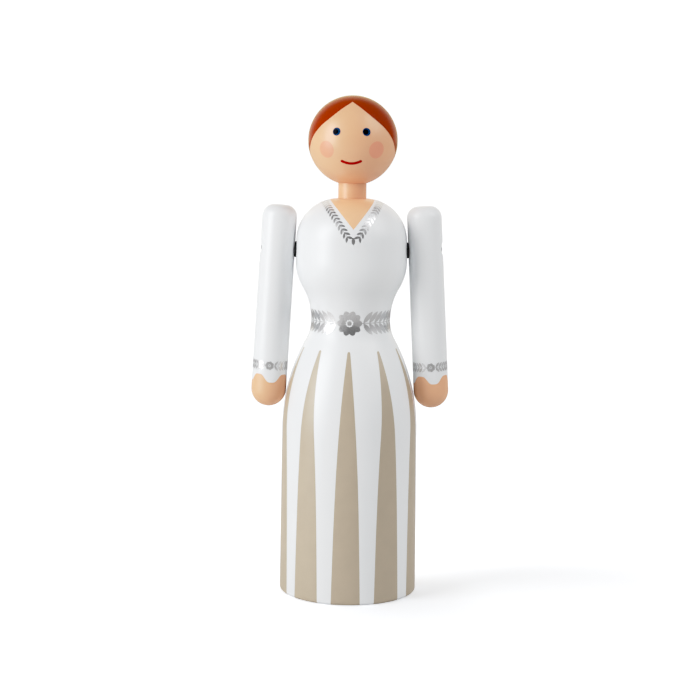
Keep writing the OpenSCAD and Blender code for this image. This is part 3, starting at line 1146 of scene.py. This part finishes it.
class HeadSurface:
    """Finds points on the ball head from the turn and the height above its middle, both angles."""

    def __init__(self, settings):
        self.radius = settings.head.head_d / 2
        self.middle = Vector((0, 0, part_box("head")[1].z - self.radius))
        self.face_turn = settings.paint.face_turn

    def outward(self, turn, rise):
        turned_by = turn + self.face_turn
        level = math.cos(rise)
        return Vector((level * math.sin(turned_by), -level * math.cos(turned_by), math.sin(rise)))

    def at(self, turn, rise, lift):
        return self.middle + (self.radius + lift) * self.outward(turn, rise)

    def spot(self, turn, rise, radius, lift, steps=40, rings=5):
        """Rows of points for a round spot, rim first."""
        middle = self.outward(turn, rise)
        right = Vector((0, 0, 1)).cross(middle).normalized()
        up = middle.cross(right)
        rows = []
        for ring in range(rings + 1):
            lean = radius / self.radius * (1 - ring / rings)
            row = []
            for step in range(steps):
                way = math.tau * step / steps
                aside = math.cos(way) * right + math.sin(way) * up
                direction = math.cos(lean) * middle + math.sin(lean) * aside
                row.append(self.middle + (self.radius + lift) * direction)
            rows.append(row)
        return rows


class FIGURE_OT_paint_face(bpy.types.Operator):
    """Paint eyes, cheeks and mouth"""

    bl_idname = "figure.paint_face"
    bl_label = "Paint the face"

    def execute(self, context):
        settings = context.scene.figure
        sizes = settings.paint
        surface = HeadSurface(settings)
        for side, way in SIDES.items():
            eye_turn = way * sizes.eye_apart
            pupil_turn = eye_turn - sizes.pupil_shift / surface.radius
            spots = [
                ("cheek", way * sizes.cheek_apart, sizes.cheek_rise, sizes.cheek_d, 1),
                ("eye", eye_turn, sizes.eye_rise, sizes.eye_d, 1),
                ("pupil", pupil_turn, sizes.eye_rise, sizes.pupil_d, 2),
            ]
            for kind, turn, rise, diameter, coats in spots:
                rows = surface.spot(turn, rise, diameter / 2, coats * sizes.coat)
                mounted(paint_skin(settings, f"{side}_{kind}", f"{kind}_paint", rows), "head")
        mounted(self.mouth(settings, surface), "head")
        return {"FINISHED"}

    def mouth(self, settings, surface):
        """A line that curves up to both corners and has round ends."""
        sizes = settings.paint
        half_t = sizes.mouth_t / 2
        half_w = sizes.mouth_w / 2 - half_t
        level = math.cos(sizes.mouth_rise) * surface.radius
        caps = [1 - math.sin(turn) for turn in spread(0, math.pi / 2, 6)[:-1]]
        stations = [(-1, -cap) for cap in caps]
        stations += [(part, 0) for part in spread(-1, 1, 30)]
        stations += [(1, cap) for cap in reversed(caps)]
        rows = []
        for height in spread(-1, 1, 6):
            row = []
            for part, past in stations:
                along = Vector((1, 2 * sizes.mouth_curve * part / half_w)).normalized()
                middle = Vector((part * half_w, sizes.mouth_curve * part ** 2)) + along * past * half_t
                aside = Vector((-along.y, along.x)) * height * math.sqrt(1 - past ** 2) * half_t
                point = middle + aside
                rise = sizes.mouth_rise + point.y / surface.radius
                row.append(surface.at(point.x / level, rise, sizes.coat))
            rows.append(row)
        return paint_skin(settings, "mouth", "mouth_paint", rows, closed=False)


class FIGURE_OT_paint_hair(bpy.types.Operator):
    """Paint the parted hair over the head"""

    bl_idname = "figure.paint_hair"
    bl_label = "Paint the hair"

    def execute(self, context):
        settings = context.scene.figure
        surface = HeadSurface(settings)
        line = [(math.radians(turn), math.radians(rise)) for turn, rise in HAIRLINE]
        turns = round_turns(180)
        edge = [smooth_through(line, abs(turn)) for turn in turns]
        rows = []
        for part in spread(0, 1, 36):
            rises = [low + (math.pi / 2 - low) * part for low in edge]
            rows.append([surface.at(turn, rise, settings.paint.coat) for turn, rise in zip(turns, rises)])
        mounted(paint_skin(settings, "hair", "hair_paint", rows), "head")
        return {"FINISHED"}


def neckline_height(surface, turn, point_z, gain, top_z):
    """Height where a straight-sided open neckline crosses a turn round the neck.

    Behind the sides it runs level round the back."""
    aside = math.sin(min(abs(turn), math.pi / 2))
    low = point_z
    high = top_z
    for step in range(40):
        middle = (low + high) / 2
        if surface.section(middle)[0] * aside > gain * (middle - point_z):
            low = middle
        else:
            high = middle
    return low


class FIGURE_OT_paint_neckline(bpy.types.Operator):
    """Paint the skin that shows in the open neckline"""

    bl_idname = "figure.paint_neckline"
    bl_label = "Paint the neckline"

    def execute(self, context):
        settings = context.scene.figure
        sizes = settings.paint
        dress = settings.dress
        surface = body_surface(settings, sizes.neckline_turn)
        inner_r = settings.head.neck_d / 2 + settings.head.joint_gap + settings.head.joint_edge_r
        inner_z = shoulder_height(dress, inner_r)

        def normal_at(height):
            return math.asin((height - dress.shoulder_z) / dress.shoulder_curve_r)

        turns = round_turns(240)
        edge = [
            normal_at(neckline_height(surface, turn, sizes.neckline_z, sizes.neckline_spread, inner_z))
            for turn in turns
        ]
        rows = []
        for part in spread(0, 1, 14):
            row = []
            for turn, low in zip(turns, edge):
                normal = low + (normal_at(inner_z) - low) * part
                height = dress.shoulder_z + dress.shoulder_curve_r * math.sin(normal)
                row.append(surface.at(turn, height, sizes.coat))
            rows.append(row)
        # Its lighter colour is painted light from above on the upturned neckline.
        mounted(paint_skin(settings, "neckline_skin", "neckline_paint", rows), "body")
        return {"FINISHED"}


class FIGURE_OT_paint_hands(bpy.types.Operator):
    """Paint the hands up to the scalloped edge of the sleeves"""

    bl_idname = "figure.paint_hands"
    bl_label = "Paint the hands"

    def execute(self, context):
        settings = context.scene.figure
        sizes = settings.paint
        arm = settings.arm
        hand_r = arm.hand_d / 2
        hand_z = arm.above_pivot + hand_r - arm.total
        turns = round_turns(160)
        edge = [self.edge_height(sizes, turn) for turn in turns]
        levels = [hand_z - hand_r * math.cos(lean) for lean in spread(0, math.pi / 2, 16)]
        bands = [[level] * len(turns) for level in levels]
        bands += [[hand_z + (top - hand_z) * part for top in edge] for part in spread(0, 1, 10)[1:]]
        for side in SIDES:
            surface = TurnedSurface(arm_side(arm), pivot_place(side))
            rows = [
                [surface.at(turn, height, sizes.coat) for turn, height in zip(turns, band)] for band in bands
            ]
            hand = paint_skin(settings, f"{side}_hand_skin", "sprayed_skin", rows)
            mounted(hand, f"{side}_arm")
        return {"FINISHED"}

    def edge_height(self, sizes, turn):
        """The sleeve edge swings between bays and tongues, steeply between the two."""
        swing = math.cos(sizes.scallops * (turn - sizes.scallop_turn))
        swing = swing * (1.5 - 0.5 * swing ** 2)
        middle = (sizes.scallop_top + sizes.scallop_tip) / 2
        return middle - (sizes.scallop_top - sizes.scallop_tip) / 2 * swing


# Silver laurel

def leaf_slab(start, size, width, slant=0.0, fullness=0.5, lift=1.0):
    """Points, faces and lifts of a flat leaf. A fullness of 0.5 is an ellipse, and more has sharper ends."""
    stations = 6
    along = Vector((math.cos(slant), math.sin(slant), 0))
    across = Vector((-along.y, along.x, 0))
    points = []
    for i in range(stations + 1):
        part = (1 - math.cos(math.pi * i / stations)) / 2
        half = width / 2 * (4 * part * (1 - part)) ** fullness
        middle = Vector((*start, 0)) + along * part * size
        points += [middle + across * half * way for way in (-1, 0, 1)]
    below = len(points)
    faces = []
    for i in range(stations):
        for a in (3 * i, 3 * i + 1):
            faces.append((a, a + 3, a + 4, a + 1))
            faces.append((below + a, below + a + 1, below + a + 4, below + a + 3))
        left = 3 * i
        right = left + 2
        faces.append((left, below + left, below + left + 3, left + 3))
        faces.append((right + 3, below + right + 3, below + right, right))
    return points * 2, faces, [lift] * below + [-1.0] * below


def motif(leaves):
    """An object that holds flat leaves, with the lift of each point as an attribute."""
    points = []
    faces = []
    lifts = []
    for leaf in leaves:
        leaf_points, leaf_faces, leaf_lifts = leaf_slab(**leaf)
        faces += [tuple(len(points) + corner for corner in face) for face in leaf_faces]
        points += leaf_points
        lifts += leaf_lifts
    mesh = mesh_of(points, faces=faces)
    mesh.attributes.new("lift", "FLOAT", "POINT").data.foreach_set("value", lifts)
    return linked("motif", mesh)


def leaf_pair(size, width, slant, step):
    """Two leaves that part from a short length of stem."""
    half = 0.6 * step
    stem = {"start": (-half, 0), "size": 2 * half, "width": 0.16 * width, "fullness": 0.2, "lift": 0.7}
    leaf = {"size": size, "width": width, "fullness": 0.8}
    return [stem] + [{"start": (0, 0.06 * way * width), "slant": way * slant, **leaf} for way in (-1, 1)]


def motif_row(settings, paths, leaves, number, surface_name, closed=False):
    """Sets a motif a number of times along each path on a finished piece."""
    shape = motif(leaves)
    row = linked("motif_row", path_mesh(paths, closed))
    foil = {"Foil": settings.silver.foil, "Finish": finish(settings, "silver_foil")}
    run_tree(row, "Motif row", Motif=shape, Surface=bpy.data.objects[surface_name], Count=number, **foil)
    removed(shape)
    merge_doubles(row.data)
    face_outwards(row.data)
    return row


def level_path(surface, height, first, last, steps=90):
    return [surface.at(turn, height) for turn in spread(first, last, steps)]


def ring_path(surface, turn, height, radius):
    """A small circle on a surface, run so that its outside is on the right."""
    reach = surface.section(height)[0]
    return [
        surface.at(turn + radius * math.cos(way) / reach, height + radius * math.sin(way))
        for way in round_turns(24)
    ]


class FIGURE_OT_print_silver(bpy.types.Operator):
    """Print the silver laurel on belt, neckline and cuffs"""

    bl_idname = "figure.print_silver"
    bl_label = "Print the silver laurel"

    def execute(self, context):
        settings = context.scene.figure
        waist = body_surface(settings, settings.paint.skirt_turn)
        belt = self.garland(settings, "belt", waist, "turned_body")
        mounted(joined("silver_belt", belt), "body")
        mounted(joined("silver_neckline", self.neckline(settings)), "body")
        for side in SIDES:
            surface = TurnedSurface(arm_side(settings.arm), pivot_place(side))
            cuff = self.garland(settings, "cuff", surface, f"{side}_arm_rod")
            mounted(joined(f"silver_{side}_cuff", cuff), f"{side}_arm")
        return {"FINISHED"}

    def garland(self, settings, kind, surface, surface_name):
        """Laurel that runs both ways round from a rosette in front to one at the back."""
        sizes = settings.silver
        parts = ("z", "leaf", "leaf_w", "pairs", "rosette_r", "petals")
        height, leaf, leaf_w, pairs, rosette_r, petals = (getattr(sizes, f"{kind}_{part}") for part in parts)
        reach = surface.section(height)[0]
        first = (rosette_r + 0.2 * leaf_w) / reach
        last = math.pi - first - leaf * math.cos(sizes.slant) / reach
        paths = [level_path(surface, height, way * first, way * last) for way in SIDES.values()]
        pair = leaf_pair(leaf, leaf_w, sizes.slant, (last - first) * reach / (pairs - 1))
        rows = [motif_row(settings, paths, pair, pairs, surface_name)]
        eye_r = sizes.rosette_eye * rosette_r
        bead_r = sizes.rosette_bead * eye_r
        petal_w = sizes.petal_fill * math.tau * rosette_r / petals
        petal = {"start": (0, 0), "size": rosette_r - eye_r, "width": petal_w, "slant": -math.pi / 2,
                 "fullness": 0.55}
        bead = {"start": (-bead_r, 0), "size": 2 * bead_r, "width": 2 * bead_r}
        for turn in (0, math.pi):
            ring = ring_path(surface, turn, height, eye_r)
            middle = level_path(surface, height, turn, turn + 0.01, 1)
            rows.append(motif_row(settings, [ring], [petal], petals, surface_name, closed=True))
            rows.append(motif_row(settings, [middle], [bead], 1, surface_name))
        return rows

    def neckline(self, settings):
        """Laurel that runs from the back of the neck to a drop at the neckline's point."""
        sizes = settings.silver
        surface = body_surface(settings, settings.paint.neckline_turn)
        top_z = shoulder_height(settings.dress, settings.head.neck_d)
        gap = sizes.trim_gap / surface.section(sizes.trim_z)[0]
        paths = []
        for way in SIDES.values():
            path = []
            for turn in spread(math.pi - gap, gap, 120):
                height = neckline_height(surface, turn, sizes.trim_z, sizes.trim_spread, top_z)
                path.append(surface.at(way * turn, height))
            paths.append(path)
        run = sum((after - before).length for before, after in zip(paths[0], paths[0][1:]))
        step = run / (sizes.trim_pairs - 1)
        pair = leaf_pair(sizes.trim_leaf, sizes.trim_leaf_w, 0.75 * sizes.slant, step)
        drop = {"start": (0, 0), "size": sizes.trim_drop, "width": 0.5 * sizes.trim_drop, "fullness": 0.7}
        fall = [surface.at(0, sizes.trim_drop_z), surface.at(0, sizes.trim_drop_z - sizes.trim_drop)]
        return [
            motif_row(settings, paths, pair, sizes.trim_pairs, "turned_body"),
            motif_row(settings, [fall], [drop], 1, "turned_body"),
        ]


# Stage

def toward(turn, rise):
    """Direction at a turn from the camera's side to the left, and a height above level."""
    level = math.cos(rise)
    return Vector((-math.sin(turn) * level, -math.cos(turn) * level, math.sin(rise)))


def camera_ray(graph):
    return graph.node("ShaderNodeLightPath", output="Is Camera Ray")


class FIGURE_OT_set_stage(bpy.types.Operator):
    """Set up the pale floor, the soft studio light and the camera"""

    bl_idname = "figure.set_stage"
    bl_label = "Set the stage"

    def execute(self, context):
        scene = context.scene
        stage = scene.figure.stage
        self.floor(stage)
        self.surroundings(scene, stage)
        for name in ("key", "fill"):
            self.soft_light(scene, stage, name)
        self.camera(scene, stage)
        self.camera_response(scene, stage)
        return {"FINISHED"}

    def floor(self, stage):
        """A cloth that glows where the camera sees it, least at the figure's foot and in its shadow. The weaker
        glow in those two patches is painted shadow: it lets the real shadow show and darkens the floor there.
        """
        half = stage.floor / 2
        corners = [(x * half, y * half, -stage.floor_drop) for x, y in ((-1, -1), (1, -1), (1, 1), (-1, 1))]
        mesh = mesh_of(corners, faces=[(0, 1, 2, 3)])
        made, graph, shader, place = new_finish("floor")
        cloth = {"Base Color": (0.7, 0.7, 0.7, 1), "Roughness": 0.9, "Specular IOR Level": 0.1}
        graph.fill(shader, cloth)

        def rise(kind, turn, depth):
            """Goes from 0 to 1 round an oval patch of the floor."""
            x, y, start, end = (getattr(stage, f"{kind}_{part}") for part in ("x", "y", "start", "end"))
            patch = graph.node("ShaderNodeMapping", {
                "Vector": place, "Location": (x, y, 0), "Rotation": (0, 0, turn), "Scale": (1, depth, 1),
            }, vector_type="TEXTURE")
            return graph.smooth_rise(graph.vector("LENGTH", patch, output="Value"), start, end)

        # Painted shadow: less glow at the foot and along the cast shadow makes the floor darker there.
        near, middle, far = (
            opaque(stage.floor_tone, glow) for glow in (stage.near_glow, stage.middle_glow, stage.far_glow)
        )
        glow = graph.mix(near, middle, rise("foot", 0, 1))
        glow = graph.mix(glow, far, rise("shadow", stage.shadow_turn, stage.shadow_depth))
        lit = {"Base Color": opaque(stage.floor_tone), "Emission Color": glow, "Emission Strength": 1.0}
        shown = graph.node("ShaderNodeBsdfPrincipled", {**cloth, **lit})
        plain = Value(graph, shader.outputs[0])
        mixed = graph.node("ShaderNodeMixShader", {0: camera_ray(graph), 1: plain, 2: shown})
        graph.fill(made.node_tree.nodes["Material Output"], {"Surface": mixed})
        mesh.materials.append(made)
        linked("floor", mesh)

    def surroundings(self, scene, stage):
        """A studio that is brighter on some sides, and plain white where the camera sees it."""
        world = bpy.data.worlds.new("studio")
        world.use_nodes = True
        world.node_tree.nodes.clear()
        graph = Graph(world.node_tree)
        way = graph.node("ShaderNodeTexCoord", output="Generated")

        def facing(direction):
            return graph.vector("DOT_PRODUCT", way, direction, "Value")

        def glow(direction, sharpness):
            half = facing(direction) * 0.5 + 0.5
            return graph.node("ShaderNodeMath", {0: half, 1: sharpness}, operation="POWER")

        edge = math.cos(stage.backdrop_reach)
        soft = 0.06
        behind = graph.smooth_rise(facing((0, 1, 0)), edge - soft, edge + soft)
        strength = (
            glow((-1, 0, 0), 2) * stage.left
            + glow(toward(stage.window_turn, stage.window_rise), 8) * stage.window
            + behind * stage.backdrop
        )
        tone = graph.mix((1, 1, 1, 1), opaque(stage.backdrop_tone), behind)
        light = graph.node("ShaderNodeBackground", {"Strength": strength, "Color": tone})
        past_white = 1.05 * stage.white
        white = graph.node("ShaderNodeBackground", {"Strength": past_white, "Color": (1, 1, 1, 1)})
        mixed = graph.node("ShaderNodeMixShader", {0: camera_ray(graph), 1: light, 2: white})
        graph.node("ShaderNodeOutputWorld", {"Surface": mixed})
        scene.world = world

    def soft_light(self, scene, stage, name):
        """One lamp, which the camera doesn't see."""
        height, turn, rise, energy = (
            getattr(stage, f"{name}_{part}") for part in ("h", "turn", "rise", "power")
        )
        way = toward(turn, rise)
        lamp = bpy.data.lights.new(name, "AREA")
        lamp.shape = "RECTANGLE"
        lamp.size = stage.lamp_w
        lamp.size_y = height
        lamp.energy = energy
        made = bpy.data.objects.new(name, lamp)
        made.location = Vector((0, 0, stage.lamp_aim)) + stage.lamp_distance * way
        made.rotation_euler = way.to_track_quat("Z", "Y").to_euler()
        made.visible_camera = False
        scene.collection.objects.link(made)

    def camera(self, scene, stage):
        lens = bpy.data.cameras.new("camera")
        lens.lens = stage.lens
        lens.sensor_width = 36
        made = bpy.data.objects.new("camera", lens)
        place = Matrix.Translation((stage.camera_x, -stage.camera_y, stage.camera_z))
        tilt = Matrix.Rotation(math.pi / 2 - stage.camera_pitch, 4, "X")
        roll = Matrix.Rotation(stage.camera_roll, 4, "Z")
        made.matrix_world = place @ tilt @ roll
        scene.collection.objects.link(made)
        scene.camera = made

    def camera_response(self, scene, stage):
        """What the camera shows follows the light up to a knee, and holds bright light back above it."""
        settings = scene.view_settings
        settings.view_transform = "Standard"
        settings.use_curve_mapping = True
        mapping = settings.curve_mapping
        mapping.use_clip = False
        room = 1 - stage.knee
        bend_end = 0.85 * stage.white
        points = [(stage.black, 0.0), (stage.knee, stage.knee)]
        for light in spread(stage.knee, bend_end, 6)[1:]:
            points.append((light, 1 - room * math.exp((stage.knee - light) / room)))
        points.append((stage.white, 1.0))
        curve = mapping.curves[3]
        curve.points[0].location = points[0]
        curve.points[1].location = points[-1]
        for point in points[1:-1]:
            curve.points.new(*point)
        for point in curve.points:
            point.handle_type = "VECTOR"
        mapping.update()


# Sidebar

STEPS = [
    FIGURE_OT_turn_body,
    FIGURE_OT_turn_neck_and_head,
    FIGURE_OT_turn_arms,
    FIGURE_OT_fit_pivots,
    FIGURE_OT_paint_skirt,
    FIGURE_OT_paint_face,
    FIGURE_OT_paint_hair,
    FIGURE_OT_paint_neckline,
    FIGURE_OT_paint_hands,
    FIGURE_OT_print_silver,
    FIGURE_OT_set_stage,
]


class FIGURE_PT_sidebar(bpy.types.Panel):
    """Steps, sizes and colours of the figure"""

    bl_idname = "FIGURE_PT_sidebar"
    bl_label = "Turned bride figure"
    bl_space_type = "VIEW_3D"
    bl_region_type = "UI"
    bl_category = "Figure"

    def draw(self, context):
        for step in STEPS:
            self.layout.operator(step.bl_idname)
        settings = context.scene.figure
        for group in settings.bl_rna.properties:
            if group.type != "POINTER" or group.identifier == "rna_type":
                continue
            box = self.layout.box()
            box.label(text=group.identifier.capitalize())
            sizes = getattr(settings, group.identifier)
            for name in sizes.__annotations__:
                box.prop(sizes, name)


GROUPS = [
    DressSizes, HeadSizes, ArmSizes, PivotSizes, PaintSizes,
    SilverSizes, FinishColours, StageSizes, FigureSettings,
]
CLASSES = GROUPS + STEPS + [FIGURE_PT_sidebar]


def register():
    for made in CLASSES:
        bpy.utils.register_class(made)
    bpy.types.Scene.figure = PointerProperty(type=FigureSettings)


def unregister():
    del bpy.types.Scene.figure
    for made in reversed(CLASSES):
        bpy.utils.unregister_class(made)


def main():
    register()
    for step in STEPS:
        group, name = step.bl_idname.split(".")
        getattr(getattr(bpy.ops, group), name)()


if __name__ == "__main__":
    main()
